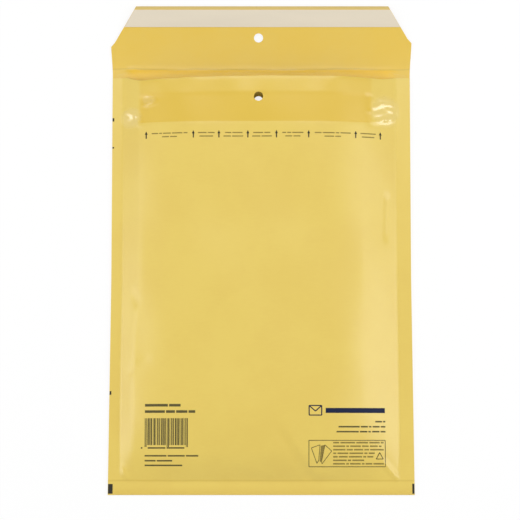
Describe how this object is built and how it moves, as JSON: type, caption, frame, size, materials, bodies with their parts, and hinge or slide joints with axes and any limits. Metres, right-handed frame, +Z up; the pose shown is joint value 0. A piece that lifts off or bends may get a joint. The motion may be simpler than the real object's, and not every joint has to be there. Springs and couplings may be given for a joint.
{
  "type": "padded envelope",
  "caption": "Padded postal envelope of golden kraft paper with a bubble film lining, open flap, clasp holes and a peel-off closing strip.",
  "frame": {"origin": "on the table, under the middle of the outline", "axes": "+X across the envelope, +Y from the folded bottom to the flap, +Z up from the back panel to the front panel"},
  "size_m": [0.2, 0.323, 0.018],
  "materials": {
    "kraft_paper": "satin machine-glazed kraft paper",
    "bubble_film": "clear soft polyethylene",
    "hot_melt_glue": "tacky gloss",
    "release_paper": "silicone-coated paper"
  },
  "bodies": {
    "root": {"paper_envelope": "kraft_paper", "bubble_liner": "bubble_film", "adhesive_strip": "hot_melt_glue", "release_liner": "release_paper"}
  },
  "joints": []
}
